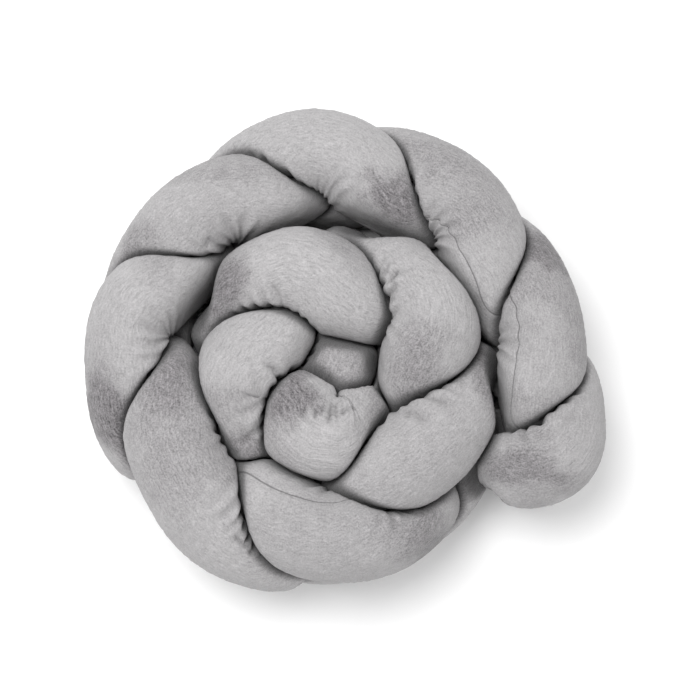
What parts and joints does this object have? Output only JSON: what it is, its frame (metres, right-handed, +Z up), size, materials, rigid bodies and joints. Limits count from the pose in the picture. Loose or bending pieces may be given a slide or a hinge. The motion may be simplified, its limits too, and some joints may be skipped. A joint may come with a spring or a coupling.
{
  "type": "braided crib bumper",
  "caption": "Soft plush braid of stuffed fabric tubes standing on edge and coiled into a spiral rosette, used as a crib bumper or floor cushion.",
  "frame": {"origin": "on the floor under the middle of the coil's bounding box", "axes": "+Z up, +X to the right of the picture, +Y to the top of the picture"},
  "size_m": [0.5167, 0.4796, 0.2096],
  "materials": {
    "plush": "short-pile light grey plush"
  },
  "bodies": {
    "root": {"strand_a": "plush", "strand_b": "plush", "strand_c": "plush"}
  },
  "joints": []
}
